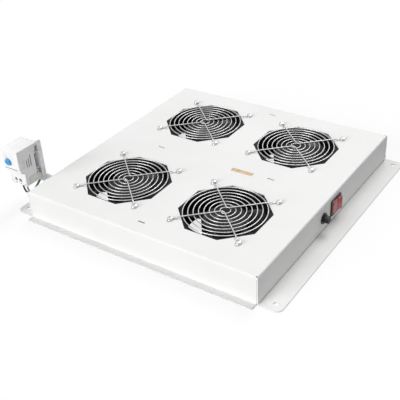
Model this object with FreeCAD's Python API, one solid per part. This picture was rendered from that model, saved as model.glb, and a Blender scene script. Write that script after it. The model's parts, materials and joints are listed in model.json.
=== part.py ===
import FreeCAD, Part
import math
import os

from FreeCAD import Vector

# A rack fan tray: a folded sheet-steel pan, open below, that carries four mains fans under
# octagonal cut-outs, with wire finger guards, a lit rocker switch, a fuse holder and a
# thermostat clipped to a short rail on a side bracket.
# Millimetres. Z points up, X runs to the switch side. The origin lies on the underside of
# the mounting flanges, at the centre of their four bolt holes.

# Sheet metal of the tray
sheet = 1.5
bend_radius = 2.5
foot_bend = 1.0
flange_width = 30.0
flange_corner = 9.0
flange_hole = 7.0
flange_hole_inset = 12.0
lip_width = 11.0
lip_corner = 3.0
corner_relief = 2.8
relief_inset = 2.0
seam_gap = 0.4
side_margin = 46.5
end_margin = 38.0
foot_room = 3.5
slot_length = 11.0
slot_width = 2.6
side_slot_offset = 13.5
end_slot_inset = 22.5

# Fans, all four alike
fan_size = 120.0
fan_thickness = 38.0
fan_gap_x = 45.0
fan_gap_y = 80.0
fan_hole_inset = 7.5
fan_hole = 4.4
fan_corner = 6.0
fan_rim = 2.5
barrel_wall = 1.6
fan_flange = 5.0
strut_count = 4
strut_width = 6.0
strut_height = 4.0
base_diameter = 64.0
base_floor = 3.0

# Fan motor
shaft_diameter = 5.0
shaft_fit = 0.03
bearing_diameter = 13.0
bearing_width = 4.0
bearing_fit = 0.02
bearing_shoulder = 1.0
tube_wall = 2.0
tube_height = 20.0
core_diameter = 56.0
core_height = 8.0
coil_diameter = 46.0
coil_height = 14.0
core_fit = 0.1

# Rotor: a cup with five swept blades
hub_diameter = 66.0
hub_wall = 2.5
hub_top_wall = 3.0
hub_top_drop = 10.0
hub_boss = 11.0
rotor_lift = 1.5
blade_count = 5
blade_tip_gap = 1.6
blade_thickness = 1.8
blade_span_angle = 52.0
blade_sweep = 9.0
blade_drop = 19.0
blade_top_drop = 2.0
blade_camber = 2.2
blade_seat = 1.0
rotor_turns = (10.0, 40.0, 25.0, 58.0)

# Finger guards
ring_count = 8
ring_wire = 1.8
arm_wire = 2.0
ring_edge_gap = 2.8
ring_lift = 0.4
weld_sink = 0.2
arm_apex = 3.8
joggle_start = 3.5
joggle_run = 4.0
eye_bore = 4.8

# Guard screws and nuts
screw_diameter = 4.0
screw_hole = 4.5
screw_head = 7.6
screw_head_height = 2.6
screw_tail = 2.0
nut_flats = 7.0
nut_height = 3.2
thread_fit = 0.05

# Rocker switch in the right-hand wall
switch_y = 14.0
switch_z = 23.0
bezel_length = 29.4
bezel_height = 24.8
bezel_depth = 2.0
bezel_corner = 2.0
switch_body_length = 27.4
switch_body_height = 22.4
switch_body_depth = 20.0
switch_wall = 1.0
switch_fit = 0.2
rocker_gap = 0.4
rocker_swing = 9.0
rocker_valley = 0.8
rocker_rise = 1.5
rocker_valley_radius = 14.0
rocker_end_slope = 0.9
rocker_back = 3.0
rocker_taper = 3.4
rocker_pivot_depth = 2.4
rocker_pin = 2.4
pin_fit = 0.05
latch_step = 1.2
terminal_length = 9.0
terminal_width = 6.3
terminal_thickness = 0.8

# Fuse holder in the same wall
fuse_y = -22.5
fuse_z = 21.5
fuse_flange = 16.0
fuse_flange_depth = 2.0
fuse_body = 11.6
fuse_bore = 8.6
fuse_body_depth = 32.0
fuse_nut_flats = 15.0
fuse_nut_depth = 4.0
fuse_cap = 11.0
fuse_cap_depth = 7.2
fuse_cap_skirt = 6.0
fuse_fit = 0.15
fuse_glass = 5.0
fuse_length = 20.0
fuse_end_length = 5.0
fuse_end_wall = 0.3
fuse_tag_length = 8.0

# Bracket on the left-hand wall, with its rail
bracket_from_front = 49.3
bracket_reach = 17.5
bracket_width = 34.0
bracket_rise = 57.5
bracket_fold = 7.5
bracket_corner = 4.0
arm_height = 10.0
arm_drop = 1.5
foot_length = 26.0
foot_screw_pitch = 14.0
rail_height = 35.0
rail_depth = 7.5
rail_crown = 27.0
rail_gauge = 1.0
rail_screw = 4.0
rail_screw_head = 7.0
rail_screw_head_height = 2.0

# Thermostat
thermostat_width = 32.0
thermostat_depth = 38.5
thermostat_height = 60.0
thermostat_inset = 1.5
thermostat_drop = 1.5
thermostat_above_rail = 10.5
housing_block = 31.0
rear_rib_top = 5.5
rear_rib_bottom = 9.5
hook_reach = 1.6
hook_thickness = 2.0
rail_play = 0.3
dial_step = 1.5
dial_zone = 30.0
middle_zone = 4.7
terminal_setback = 8.0
setback_slope = 4.0
dial_diameter = 11.0
dial_height = 2.4
dial_offset = 4.2
dial_drop = 19.0
dial_stem = 5.0
dial_stem_depth = 8.0
dial_fit = 0.06
dial_play = 0.3
dial_slot = 1.4
vent_count = 3
vent_pitch = 3.9
vent_width = 1.5
vent_depth = 1.2
vent_start = 14.7
vent_bottom_drop = 32.0
vent_heights = (13.0, 14.5, 19.5)
panel_start = 2.0
panel_width = 9.0
panel_drop = 17.0
panel_height = 11.5
panel_depth = 0.5
terminal_pitch = 8.6
terminal_side = 12.8
terminal_screw = 4.2
terminal_screw_rise = 7.5
terminal_screw_depth = 1.6
terminal_screw_stand = 0.4
entry_bore = 3.4
entry_cover = 1.0
entry_height = 9.0
entry_window = 2.2
entry_window_rise = 1.9
clip_start = 15.0
clip_height = 13.0
clip_play = 0.3
clip_catch = 1.6
clip_tongue_width = 12.0
clip_tongue_height = 10.0
clip_tongue_start = 5.0
clip_tongue_depth = 4.0

# Cable entries, earth stud and connector strip inside
grommet_from_front = 66.5
grommet_z = 21.5
grommet_bore = 7.0
grommet_waist = 9.0
grommet_collar = 13.0
grommet_collar_depth = 2.0
grommet_fit = 0.1
gland_from_side = 69.0
gland_z = 21.0
gland_thread = 15.2
gland_flats = 18.0
gland_hex_depth = 5.0
gland_dome = 17.0
gland_dome_depth = 12.0
gland_bore = 7.0
gland_tail = 8.0
gland_nut_flats = 18.0
gland_nut_depth = 3.0
stud_from_wall = 24.0
stud_y = -120.0
stud_diameter = 4.0
stud_length = 14.0
washer_diameter = 9.0
washer_thickness = 0.8
strip_from_wall = 23.0
strip_y = -70.0
strip_length = 46.0
strip_width = 17.0
strip_height = 15.0
strip_ways = 4
strip_bore = 3.4
strip_screw = 3.5

# Thermostat leads
black_lead = 2.6
green_lead = 2.2

# Sizes that follow from those above
tray_width = 2 * (fan_size + side_margin) + fan_gap_x
tray_depth = 2 * (fan_size + end_margin) + fan_gap_y
tray_height = sheet + fan_thickness + foot_room
plate_under = tray_height - sheet
wall_x = tray_width / 2
wall_y = tray_depth / 2
fan_top = plate_under
fan_bottom = fan_top - fan_thickness
fan_hole_pitch = fan_size - 2 * fan_hole_inset
fan_x = (fan_size + fan_gap_x) / 2
fan_y = (fan_size + fan_gap_y) / 2
fan_centres = ((-fan_x, -fan_y), (fan_x, -fan_y), (fan_x, fan_y), (-fan_x, fan_y))
fan_bore = fan_size - 2 * fan_rim
side_slot_x = fan_x + side_slot_offset
end_slot_y = wall_y - end_slot_inset
hole_x = wall_x + flange_width - flange_hole_inset
hole_y = wall_y - flange_hole_inset
grommet_y = grommet_from_front - wall_y
gland_x = wall_x - gland_from_side
stud_x = wall_x - stud_from_wall
strip_x = wall_x - strip_from_wall
eye_radius = eye_bore / 2 + arm_wire
base_top = fan_bottom + strut_height
hub_top = fan_top - hub_top_drop
hub_bottom = base_top + rotor_lift
tube_bore = bearing_diameter / 2
tube_outer = tube_bore + tube_wall
tube_top = base_top + tube_height


def block(x0, x1, y0, y1, z0, z1):
    return Part.makeBox(x1 - x0, y1 - y0, z1 - z0, Vector(x0, y0, z0))


def rod(radius, start, end):
    run = end - start
    return Part.makeCylinder(radius, run.Length, start, run)


def pipe(outer, inner, start, end):
    return rod(outer, start, end).cut(rod(inner, start, end))


def upright(radius, x, y, z0, z1):
    return rod(radius, Vector(x, y, z0), Vector(x, y, z1))


def prism(points, direction):
    corners = [Vector(*p) for p in points]
    return Part.Face(Part.makePolygon(corners + corners[:1])).extrude(direction)


# A flat-sided bar with corners at the given half width, such as a hexagon or an octagon
def many_sided(sides, across_flats, start, end, turn=0.0):
    run = end - start
    radius = across_flats / 2 / math.cos(math.pi / sides)
    step = 2 * math.pi / sides
    angles = [math.radians(turn) + (i + 0.5) * step for i in range(sides)]
    points = [(radius * math.cos(a), radius * math.sin(a), 0.0) for a in angles]
    bar = prism(points, Vector(0, 0, run.Length))
    bar.Placement = FreeCAD.Placement(start, FreeCAD.Rotation(Vector(0, 0, 1), run))
    return bar


# A plate lying flat, with upright edges rounded at the corners that are listed
def rounded_plate(x0, x1, y0, y1, z0, z1, radius, corners):
    plate = block(x0, x1, y0, y1, z0, z1)
    chosen = []
    for edge in plate.Edges:
        a, b = (v.Point for v in edge.Vertexes)
        if abs(a.x - b.x) < 1e-6 and abs(a.y - b.y) < 1e-6:
            for x, y in corners:
                if abs(a.x - x) < 1e-6 and abs(a.y - y) < 1e-6:
                    chosen.append(edge)
    return plate.makeFillet(radius, chosen)


# A straight wire of square section between two points, laid level across its width
def wire_run(start, end, width):
    along = end - start
    along.normalize()
    side = Vector(0, 0, 1).cross(along)
    side.normalize()
    up = along.cross(side)
    h = width / 2
    corners = [start + side * a * h + up * b * h for a, b in ((-1, -1), (1, -1), (1, 1), (-1, 1))]
    face = Part.Face(Part.makePolygon(corners + corners[:1]))
    return face.extrude(end - start)


# Pan: outer block less inner block, both rounded along their four top edges
def pan():
    def rounded(inset, top, radius):
        x = wall_x - inset
        y = wall_y - inset
        low = sheet + foot_bend
        body = block(-x, x, -y, y, low, top)
        edges = [e for e in body.Edges if all(abs(v.Z - top) < 1e-6 for v in e.Vertexes)]
        return body.makeFillet(radius, edges)
    return rounded(0.0, tray_height, bend_radius).cut(
        rounded(sheet, plate_under, bend_radius - sheet))


# Bend where a wall turns outward at its foot, as one profile drawn from the wall's outer
# face outward, then swept along the wall
def foot_bend_strip(length):
    inside = foot_bend
    outside = foot_bend + sheet
    centre = Vector(inside, 0, outside)
    diagonal = math.sqrt(0.5)

    def arc(radius):
        return Part.Arc(
            centre + Vector(-radius, 0, 0),
            centre + Vector(-radius * diagonal, 0, -radius * diagonal),
            centre + Vector(0, 0, -radius)).toShape()

    def line(a, b):
        return Part.makeLine(a, b)

    outer_top = Vector(-sheet, 0, outside)
    inner_top = Vector(0, 0, outside)
    flange_under = Vector(inside, 0, 0)
    flange_over = Vector(inside, 0, sheet)
    profile = Part.Wire([
        line(outer_top, inner_top), arc(inside), line(flange_over, flange_under), arc(outside)])
    return Part.Face(profile).extrude(Vector(0, length, 0))


def turned(shape, angle):
    copy = shape.copy()
    copy.rotate(Vector(0, 0, 0), Vector(0, 0, 1), angle)
    return copy


# Wall foot and flange for the side that faces +X, ready to turn about the tray's centre
def foot(wall, length, width, corner):
    strip = foot_bend_strip(length)
    strip.translate(Vector(wall, -length / 2, 0))
    outer = wall + width
    plate = rounded_plate(
        wall + foot_bend, outer, -length / 2, length / 2, 0, sheet, corner,
        [(outer, -length / 2), (outer, length / 2)])
    return strip.fuse(plate)


# Tray as folded, with every opening in it
def folded_tray():
    side = foot(wall_x, tray_depth, flange_width, flange_corner)
    end_length = tray_width - 2 * (sheet + seam_gap)
    end = foot(wall_y, end_length, lip_width, lip_corner)
    shell = pan().fuse([side, turned(side, 180), turned(end, 90), turned(end, -90)])
    cuts = []
    for x, y in fan_centres:
        low = Vector(x, y, plate_under - 1)
        high = Vector(x, y, tray_height + 1)
        cuts.append(many_sided(8, fan_size, low, high))
        for hx, hy in guard_holes(x, y):
            cuts.append(upright(screw_hole / 2, hx, hy, low.z, high.z))
    for x, y in ((side_slot_x, 0), (-side_slot_x, 0), (0, end_slot_y), (0, -end_slot_y)):
        cuts.append(block(
            x - slot_length / 2, x + slot_length / 2, y - slot_width / 2, y + slot_width / 2,
            plate_under - 1, tray_height + 1))
    for sx in (-1, 1):
        for sy in (-1, 1):
            cuts.append(upright(flange_hole / 2, sx * hole_x, sy * hole_y, -1, sheet + 1))
            relief_x = sx * (wall_x - relief_inset)
            relief_y = sy * (wall_y - relief_inset)
            cuts.append(upright(
                corner_relief / 2, relief_x, relief_y, plate_under - bend_radius, tray_height + 1))
            seam_x = sorted((sx * (wall_x - sheet), sx * (wall_x - sheet - seam_gap)))
            seam_y = sorted((sy * (wall_y - sheet - 0.1), sy * (wall_y + lip_width + 1)))
            cuts.append(block(*seam_x, *seam_y, -1, plate_under - bend_radius))
    wall_in = wall_x - sheet - 1
    wall_out = wall_x + 1
    half = switch_body_length / 2 + switch_fit
    tall = switch_body_height / 2 + switch_fit
    cuts.append(block(
        wall_in, wall_out, switch_y - half, switch_y + half, switch_z - tall, switch_z + tall))
    cuts.append(rod(
        fuse_body / 2 + fuse_fit, Vector(wall_in, fuse_y, fuse_z), Vector(wall_out, fuse_y, fuse_z)))
    cuts.append(rod(
        grommet_waist / 2 + grommet_fit,
        Vector(-wall_out, grommet_y, grommet_z), Vector(-wall_in, grommet_y, grommet_z)))
    for y in foot_screw_places():
        cuts.append(rod(
            screw_hole / 2, Vector(-wall_out, y, foot_screw_z()), Vector(-wall_in, y, foot_screw_z())))
    cuts.append(rod(
        gland_thread / 2 + grommet_fit,
        Vector(gland_x, wall_y - sheet - 1, gland_z), Vector(gland_x, wall_y + 1, gland_z)))
    return shell.cut(cuts).removeSplitter()


# The pieces that the tray is welded from, parted along its bends: a flat top sheet, two side
# rails with the mounting flanges, a front rail, a rear wall and the lip at that wall's foot
def tray_pieces():
    tray = folded_tray()
    flat_x = wall_x - bend_radius
    flat_y = wall_y - bend_radius
    seam = wall_x - sheet - seam_gap / 2
    foot_top = sheet + foot_bend
    far = wall_x + wall_y
    low = -1
    high = tray_height + 1
    ends = [
        block(-seam, seam, flat_y, far, low, high), block(-seam, seam, -far, -flat_y, low, high)]
    return {
        "tray_shell": tray.common(block(-flat_x, flat_x, -flat_y, flat_y, foot_top, high)),
        "side_rail_right": tray.common(block(flat_x, far, -far, far, low, high)).cut(ends),
        "side_rail_left": tray.common(block(-far, -flat_x, -far, far, low, high)).cut(ends),
        "end_rail_front": tray.common(block(-seam, seam, -far, -flat_y, low, high)),
        "rear_wall": tray.common(block(-seam, seam, flat_y, far, foot_top, high)),
        "rear_lip": tray.common(block(-seam, seam, flat_y, far, low, foot_top))}


def guard_holes(x, y):
    h = fan_hole_pitch / 2
    return [(x + sx * h, y + sy * h) for sx, sy in ((-1, -1), (1, -1), (1, 1), (-1, 1))]


# Fan frame: two square flanges on a round barrel
def fan_frame(x, y):
    half = fan_size / 2
    corners = [(x + sx * half, y + sy * half) for sx in (-1, 1) for sy in (-1, 1)]
    box = (x - half, x + half, y - half, y + half)
    top = rounded_plate(*box, fan_top - fan_flange, fan_top, fan_corner, corners)
    bottom = rounded_plate(*box, fan_bottom, fan_bottom + fan_flange, fan_corner, corners)
    barrel = upright(fan_bore / 2 + barrel_wall, x, y, fan_bottom, fan_top)
    frame = top.fuse([bottom, barrel]).cut(
        upright(fan_bore / 2, x, y, fan_bottom - 1, fan_top + 1))
    holes = []
    for hx, hy in guard_holes(x, y):
        holes.append(upright(fan_hole / 2, hx, hy, fan_bottom - 1, fan_bottom + fan_flange + 1))
        holes.append(upright(fan_hole / 2, hx, hy, fan_top - fan_flange - 1, fan_top + 1))
    return frame.cut(holes).removeSplitter()


# Motor spider: a round base with the bearing tube on it, held by struts that end against
# the inside of the barrel
def motor_spider(x, y):
    struts = []
    for i in range(strut_count):
        strut = block(
            base_diameter / 4, fan_bore / 2 + barrel_wall, -strut_width / 2, strut_width / 2,
            fan_bottom, base_top)
        strut = turned(strut, 45 + i * 360 / strut_count)
        strut.translate(Vector(x, y, 0))
        struts.append(strut)
    base = upright(base_diameter / 2, x, y, fan_bottom, base_top)
    tube = upright(tube_outer, x, y, base_top, tube_top)
    spider = base.fuse(struts).common(upright(fan_bore / 2, x, y, fan_bottom, base_top))
    spider = spider.fuse(tube)
    seat = tube_bore + bearing_fit
    bores = [
        upright(tube_bore - bearing_shoulder, x, y, fan_bottom + base_floor, tube_top + 1),
        upright(seat, x, y, tube_top - bearing_width, tube_top + 1),
        upright(seat, x, y, fan_bottom + base_floor, fan_bottom + base_floor + bearing_width)]
    return spider.cut(bores).removeSplitter()


# Two bearings in each fan's tube
def fan_bearings():
    inner = shaft_diameter / 2 + shaft_fit
    rings = []
    for x, y in fan_centres:
        for z in (fan_bottom + base_floor, tube_top - bearing_width):
            rings.append(pipe(
                tube_bore, inner, Vector(x, y, z), Vector(x, y, z + bearing_width)))
    return Part.makeCompound(rings)


# Stator: a laminated core between two coil packs, seated on the bearing tube
def stator(x, y):
    middle = (base_top + hub_top) / 2
    core = upright(core_diameter / 2, x, y, middle - core_height / 2, middle + core_height / 2)
    coil = upright(coil_diameter / 2, x, y, middle - coil_height / 2, middle + coil_height / 2)
    bore = upright(tube_outer + core_fit, x, y, middle - coil_height, middle + coil_height)
    return core.fuse(coil).cut(bore)


def stators():
    return Part.makeCompound([stator(x, y) for x, y in fan_centres])


# One blade in polar form: the angle runs along the chord, and the height falls clockwise.
# Each long edge is a curve on a cylinder, and ruled faces join the root to the tip.
def blade(turn):
    root = hub_diameter / 2 - blade_seat
    tip = fan_bore / 2 - blade_tip_gap
    top = hub_top - blade_top_drop + blade_thickness
    steps = 4

    def edge(radius, lift):
        share = (radius - root) / (tip - root)
        lead = turn - blade_sweep * share
        points = []
        for i in range(steps + 1):
            t = i / steps
            angle = math.radians(lead - blade_span_angle * t)
            camber = blade_camber * 4 * t * (1 - t)
            z = top - blade_drop * t + camber - lift
            points.append(Vector(radius * math.cos(angle), radius * math.sin(angle), z))
        curve = Part.BSplineCurve()
        curve.interpolate(points)
        return curve.toShape()

    over_root = edge(root, 0.0)
    over_tip = edge(tip, 0.0)
    under_root = edge(root, blade_thickness)
    under_tip = edge(tip, blade_thickness)

    def end_face(i):
        corners = [e.Vertexes[i].Point for e in (over_root, over_tip, under_tip, under_root)]
        return Part.makeRuledSurface(
            Part.makeLine(corners[0], corners[1]), Part.makeLine(corners[3], corners[2]))

    faces = [
        Part.makeRuledSurface(over_root, over_tip),
        Part.makeRuledSurface(under_root, under_tip),
        Part.makeRuledSurface(over_root, under_root),
        Part.makeRuledSurface(over_tip, under_tip),
        end_face(0), end_face(-1)]
    shell = Part.makeShell(faces)
    shell.sewShape()
    solid = Part.makeSolid(shell)
    if solid.Volume < 0:
        solid.reverse()
    return solid


def rotor_at_origin():
    radius = hub_diameter / 2
    cup = upright(radius, 0, 0, hub_bottom, hub_top)
    hollow = upright(radius - hub_wall, 0, 0, hub_bottom - 1, hub_top - hub_top_wall)
    boss = upright(hub_boss / 2, 0, 0, tube_top + rotor_lift / 2, hub_top - hub_top_wall / 2)
    hub = cup.cut(hollow).fuse(boss)
    bore = upright(shaft_diameter / 2 + bearing_fit, 0, 0, hub_bottom, shaft_top())
    hub = hub.cut(bore)
    blades = [blade(i * 360 / blade_count) for i in range(blade_count)]
    return hub.fuse(blades).removeSplitter()


def shaft_top():
    return hub_top - hub_top_wall / 3


def rotor_shaft(x, y):
    return upright(shaft_diameter / 2, x, y, fan_bottom + base_floor + rotor_lift / 2, shaft_top())


def guard_ring(radius, z0, z1):
    half = ring_wire / 2
    return pipe(radius + half, radius - half, Vector(0, 0, z0), Vector(0, 0, z1))


# Finger guard: concentric rings under two bent wires whose ends run out to screw eyes
def finger_guard(x, y):
    outer = fan_size / 2 - ring_edge_gap
    pitch = outer / ring_count
    ring_low = tray_height + ring_lift
    ring_high = ring_low + ring_wire
    rings = [guard_ring(pitch * (i + 1), ring_low, ring_high) for i in range(ring_count)]
    low = tray_height + arm_wire / 2
    high = ring_high - weld_sink + arm_wire / 2
    eye = fan_hole_pitch / 2
    pieces = []
    for side in (-1, 1):
        apex = Vector(0, side * arm_apex, high)
        for way in (-1, 1):
            centre = Vector(way * eye, side * eye, low)
            inward = apex - centre
            inward.z = 0
            inward.normalize()
            start = centre + inward * (eye_bore / 2 + arm_wire * 0.6)
            flat_end = centre + inward * (eye_radius + joggle_start)
            rise_end = flat_end + inward * joggle_run
            rise_end.z = high
            overlap = inward * (arm_wire / 2)
            pieces.append(wire_run(start, flat_end + overlap, arm_wire))
            pieces.append(wire_run(flat_end, rise_end, arm_wire))
            pieces.append(wire_run(rise_end - overlap, apex, arm_wire))
            tall = Vector(0, 0, arm_wire / 2)
            loop = many_sided(8, 2 * eye_radius, centre - tall, centre + tall)
            hole = many_sided(8, eye_bore, centre - tall, centre + tall)
            pieces.append(loop.cut(hole))
        cap = arm_wire / 2
        pieces.append(block(-cap, cap, apex.y - cap, apex.y + cap, high - cap, high + cap))
    guard = rings[0].fuse(rings[1:] + pieces).removeSplitter()
    guard.translate(Vector(x, y, 0))
    return guard


def guard_screws():
    solids = []
    eye_top = tray_height + arm_wire
    tail = fan_top - fan_flange - nut_height - screw_tail
    for x, y in fan_centres:
        for hx, hy in guard_holes(x, y):
            head = upright(screw_head / 2, hx, hy, eye_top, eye_top + screw_head_height)
            shank = upright(screw_diameter / 2, hx, hy, tail, eye_top)
            solids.append(head.fuse(shank))
    return Part.makeCompound(solids)


def hex_nut(flats, bore, start, end, turn=0.0):
    return many_sided(6, flats, start, end, turn).cut(rod(bore, start, end))


def guard_nuts():
    solids = []
    top = fan_top - fan_flange
    bore = screw_diameter / 2 + thread_fit
    for x, y in fan_centres:
        for hx, hy in guard_holes(x, y):
            solids.append(hex_nut(
                nut_flats, bore, Vector(hx, hy, top - nut_height), Vector(hx, hy, top)))
    return Part.makeCompound(solids)


# Switch: an open box with a bezel outside the wall and ears that carry the rocker's pin
def switch_housing():
    bezel = block(
        wall_x, wall_x + bezel_depth,
        switch_y - bezel_length / 2, switch_y + bezel_length / 2,
        switch_z - bezel_height / 2, switch_z + bezel_height / 2)
    edges = [e for e in bezel.Edges if abs(e.Vertexes[0].X - e.Vertexes[-1].X) > 1e-6]
    bezel = bezel.makeFillet(bezel_corner, edges)
    back = wall_x - switch_body_depth
    body = block(
        back, wall_x,
        switch_y - switch_body_length / 2, switch_y + switch_body_length / 2,
        switch_z - switch_body_height / 2, switch_z + switch_body_height / 2)
    inner_y = switch_body_length / 2 - switch_wall
    inner_z = switch_body_height / 2 - switch_wall
    hollow = block(
        back + switch_wall, wall_x + bezel_depth + 1,
        switch_y - inner_y, switch_y + inner_y, switch_z - inner_z, switch_z + inner_z)
    housing = bezel.fuse(body).cut(hollow)
    pin = rod(
        rocker_pin / 2 + bearing_fit,
        Vector(pivot_x(), switch_y, switch_z - switch_body_height),
        Vector(pivot_x(), switch_y, switch_z + switch_body_height))
    slots = [
        block(
            back - 1, back + switch_wall + 1, y - terminal_thickness / 2 - switch_fit,
            y + terminal_thickness / 2 + switch_fit,
            z - terminal_width / 2 - switch_fit, z + terminal_width / 2 + switch_fit)
        for y, z in switch_terminal_places()]
    latches = [
        prism(
            [(wall_x - sheet - switch_fit, y, switch_z - rocker_pin),
             (wall_x - sheet - switch_fit, y + s * latch_step, switch_z - rocker_pin),
             (wall_x - sheet - 4 * latch_step, y, switch_z - rocker_pin)],
            Vector(0, 0, 2 * rocker_pin))
        for s in (-1, 1) for y in (switch_y + s * switch_body_length / 2,)]
    return housing.cut([pin] + slots).fuse(latches).removeSplitter()


def pivot_x():
    return wall_x + bezel_depth - rocker_pivot_depth


def switch_terminal_places():
    return [
        (switch_y + a * switch_body_length / 4, switch_z + b * switch_body_height / 4)
        for a in (-1, 1) for b in (-1, 1)]


# Rocker: two faces that meet in a soft valley over the upright pin, tilted so that the far
# end stands proud
def switch_rocker():
    length = switch_body_length / 2 - switch_wall - rocker_gap - rocker_end_slope
    tall = switch_body_height / 2 - switch_wall - rocker_gap
    valley = rocker_pivot_depth + rocker_valley
    crown = valley + rocker_rise
    back = -rocker_back
    outline = [
        (valley, 0), (crown, length), (0, length + rocker_end_slope / 2),
        (back, length - rocker_taper), (back, -length + rocker_taper),
        (0, -length - rocker_end_slope / 2), (crown, -length)]
    rocker = prism([(x, y, -tall) for x, y in outline], Vector(0, 0, 2 * tall))
    crease = [
        e for e in rocker.Edges
        if all(abs(v.X - valley) < 1e-6 and abs(v.Y) < 1e-6 for v in e.Vertexes)]
    rocker = rocker.makeFillet(rocker_valley_radius, crease)
    rocker = rocker.cut(upright(rocker_pin / 2 + pin_fit, 0, 0, -2 * tall, 2 * tall))
    rocker = turned(rocker, -rocker_swing)
    rocker.translate(Vector(pivot_x(), switch_y, switch_z))
    return rocker


def switch_pin():
    reach = switch_body_height / 2
    return rod(
        rocker_pin / 2,
        Vector(pivot_x(), switch_y, switch_z - reach), Vector(pivot_x(), switch_y, switch_z + reach))


def switch_terminals():
    back = wall_x - switch_body_depth
    tags = []
    for y, z in switch_terminal_places():
        tags.append(block(
            back - terminal_length, back + switch_wall,
            y - terminal_thickness / 2, y + terminal_thickness / 2,
            z - terminal_width / 2, z + terminal_width / 2))
    return Part.makeCompound(tags)


def fuse_point(x):
    return Vector(x, fuse_y, fuse_z)


# Fuse holder body: a collar outside the wall on a bored barrel that is closed behind
def fuse_holder():
    collar = rod(fuse_flange / 2, fuse_point(wall_x), fuse_point(wall_x + fuse_flange_depth))
    barrel = rod(fuse_body / 2, fuse_point(wall_x - fuse_body_depth), fuse_point(wall_x))
    bore = rod(
        fuse_bore / 2, fuse_point(wall_x - fuse_body_depth + 2),
        fuse_point(wall_x + fuse_flange_depth + 1))
    return collar.fuse(barrel).cut(bore).removeSplitter()


def fuse_nut():
    inner = wall_x - sheet
    return hex_nut(
        fuse_nut_flats, fuse_body / 2 + thread_fit,
        fuse_point(inner - fuse_nut_depth), fuse_point(inner))


# Fuse cap: a knob with a coin slot and a skirt that enters the holder's bore
def fuse_cap_knob():
    face = wall_x + fuse_flange_depth
    gap = 2 * fuse_fit
    knob = rod(fuse_cap / 2, fuse_point(face + gap), fuse_point(face + fuse_cap_depth))
    skirt = rod(
        fuse_bore / 2 - fuse_fit, fuse_point(face - fuse_cap_skirt), fuse_point(face + gap))
    slot = block(
        face + fuse_cap_depth - 1.5, face + fuse_cap_depth + 1,
        fuse_y - fuse_cap, fuse_y + fuse_cap, fuse_z - 0.8, fuse_z + 0.8)
    socket = rod(
        fuse_glass / 2 + fuse_end_wall + fuse_fit, fuse_point(face - fuse_cap_skirt - 1),
        fuse_point(face - fuse_cap_skirt + fuse_end_length))
    return knob.fuse(skirt).cut([slot, socket]).removeSplitter()


# Glass tube fuse: tube and two metal end caps
def fuse_ends():
    return wall_x + fuse_flange_depth - fuse_cap_skirt + fuse_end_length - fuse_fit


def fuse_tube():
    front = fuse_ends() - fuse_end_wall
    return rod(
        fuse_glass / 2, fuse_point(front - fuse_length + 2 * fuse_end_wall), fuse_point(front))


def fuse_end_caps():
    front = fuse_ends()
    radius = fuse_glass / 2 + fuse_end_wall
    caps = []
    for x0, x1, inner0, inner1 in (
            (front - fuse_end_length, front, front - fuse_end_length, front - fuse_end_wall),
            (front - fuse_length, front - fuse_length + fuse_end_length,
             front - fuse_length + fuse_end_wall, front - fuse_length + fuse_end_length)):
        cap = rod(radius, fuse_point(x0), fuse_point(x1))
        hollow = rod(fuse_glass / 2 + thread_fit / 2, fuse_point(inner0), fuse_point(inner1))
        caps.append(cap.cut(hollow))
    return Part.makeCompound(caps)


def fuse_tags():
    back = wall_x - fuse_body_depth
    rear = block(
        back - fuse_tag_length, back, fuse_y - 2.4, fuse_y + 2.4,
        fuse_z - terminal_thickness / 2, fuse_z + terminal_thickness / 2)
    low = fuse_z - fuse_body / 2
    side = block(
        back + 5, back + 9, fuse_y - terminal_thickness / 2, fuse_y + terminal_thickness / 2,
        low - fuse_tag_length, low)
    return Part.makeCompound([rear, side])


# Places on the bracket, worked out from the tray's walls
def bracket_face():
    return -wall_y + bracket_from_front


def arm_top():
    return tray_height - bend_radius - arm_drop


def foot_screw_z():
    return arm_top() - arm_height / 2


def foot_screw_places():
    middle = bracket_face() + bracket_fold + foot_length / 2
    return (middle - foot_screw_pitch / 2, middle + foot_screw_pitch / 2)


def plate_right():
    return -wall_x - bracket_reach


def plate_top():
    return arm_top() + bracket_rise


def rail_middle():
    return thermostat_top() - thermostat_above_rail - rail_height / 2


def thermostat_top():
    return plate_top() - thermostat_drop


def thermostat_bottom():
    return thermostat_top() - thermostat_height


# Bracket: an upright plate, folded back along its right edge. The fold's lower end bends out
# again into an arm, and the arm ends in a tab on the wall.
def thermostat_bracket():
    face = bracket_face()
    rear = face + bracket_fold
    low = arm_top() - arm_height
    left = plate_right() - bracket_width
    right = plate_right()
    plate = block(left, right, face, face + sheet, low, plate_top())
    plate = rounded_across(plate, "Y", [(left, low), (left, plate_top())], bracket_corner)
    fold = block(right - sheet, right, face, rear, low, plate_top())
    fold = rounded_across(fold, "X", [(rear, plate_top())], bracket_corner)
    arm = block(right - sheet, -wall_x, rear - sheet, rear, low, arm_top())
    tab = block(-wall_x - sheet, -wall_x, rear - sheet, rear + foot_length, low, arm_top())
    holes = [
        rod(
            screw_hole / 2, Vector(-wall_x - sheet - 1, y, foot_screw_z()),
            Vector(-wall_x + 1, y, foot_screw_z()))
        for y in foot_screw_places()]
    for x in rail_screw_places():
        holes.append(rod(
            rail_screw / 2 + thread_fit, Vector(x, face - 1, rail_middle()),
            Vector(x, face + sheet + 1, rail_middle())))
    return plate.fuse([fold, arm, tab]).cut(holes).removeSplitter()


# Rounds the edges that run along one axis through the listed places on the other two axes
def rounded_across(shape, axis, places, radius):
    kept = [a for a in "XYZ" if a != axis]
    chosen = []
    for edge in shape.Edges:
        ends = [[getattr(v, a) for a in kept] for v in edge.Vertexes]
        for place in places:
            if all(abs(e[i] - place[i]) < 1e-6 for e in ends for i in (0, 1)):
                chosen.append(edge)
    return shape.makeFillet(radius, chosen)


def thermostat_right():
    return plate_right() - thermostat_inset


def thermostat_left():
    return thermostat_right() - thermostat_width


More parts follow.
